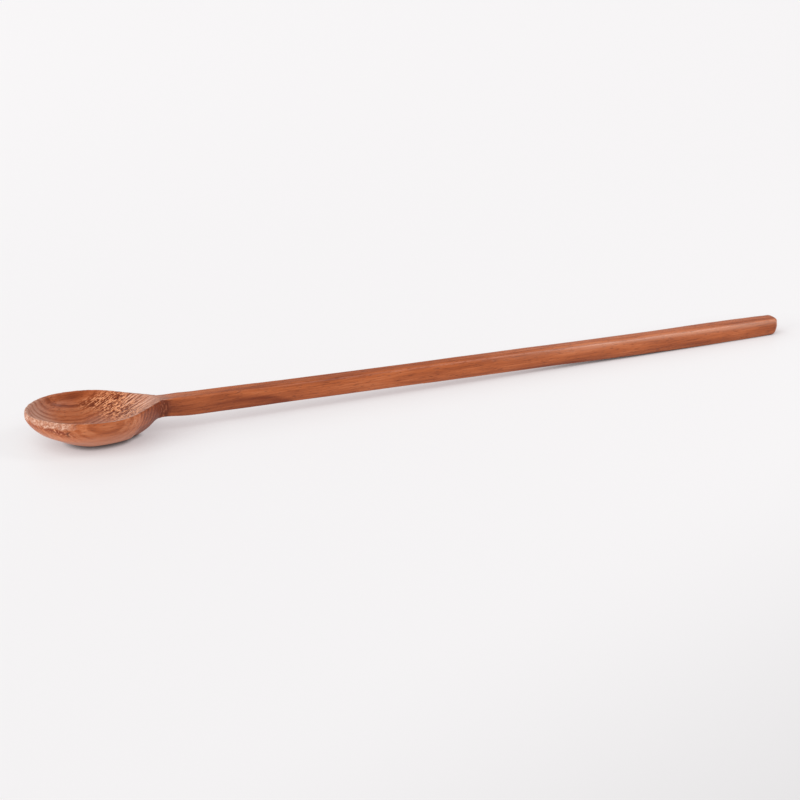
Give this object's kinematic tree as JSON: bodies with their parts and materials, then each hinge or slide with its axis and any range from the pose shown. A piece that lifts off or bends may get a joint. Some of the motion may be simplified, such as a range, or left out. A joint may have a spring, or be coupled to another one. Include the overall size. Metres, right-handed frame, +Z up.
{
  "type": "wooden spoon",
  "caption": "Long-handled wooden spoon in one piece: a small pointed oval bowl with a deep hollow, an angular keeled neck and a slim straight handle, for stirring and tasting.",
  "frame": {"origin": "on the surface that the spoon lies on, under the middle of its length and width, with the spoon resting on its belly and on the far end of its handle", "axes": "+X along the spoon from the bowl to the handle's end, +Z up out of the hollow, +Y to the left when looking along +X"},
  "size_m": [0.3498, 0.0428, 0.0154],
  "materials": {
    "oiled_wood": "oiled, semi-matt, open pores, tool marks in the hollow"
  },
  "bodies": {
    "root": {"spoon": "oiled_wood"}
  },
  "joints": []
}
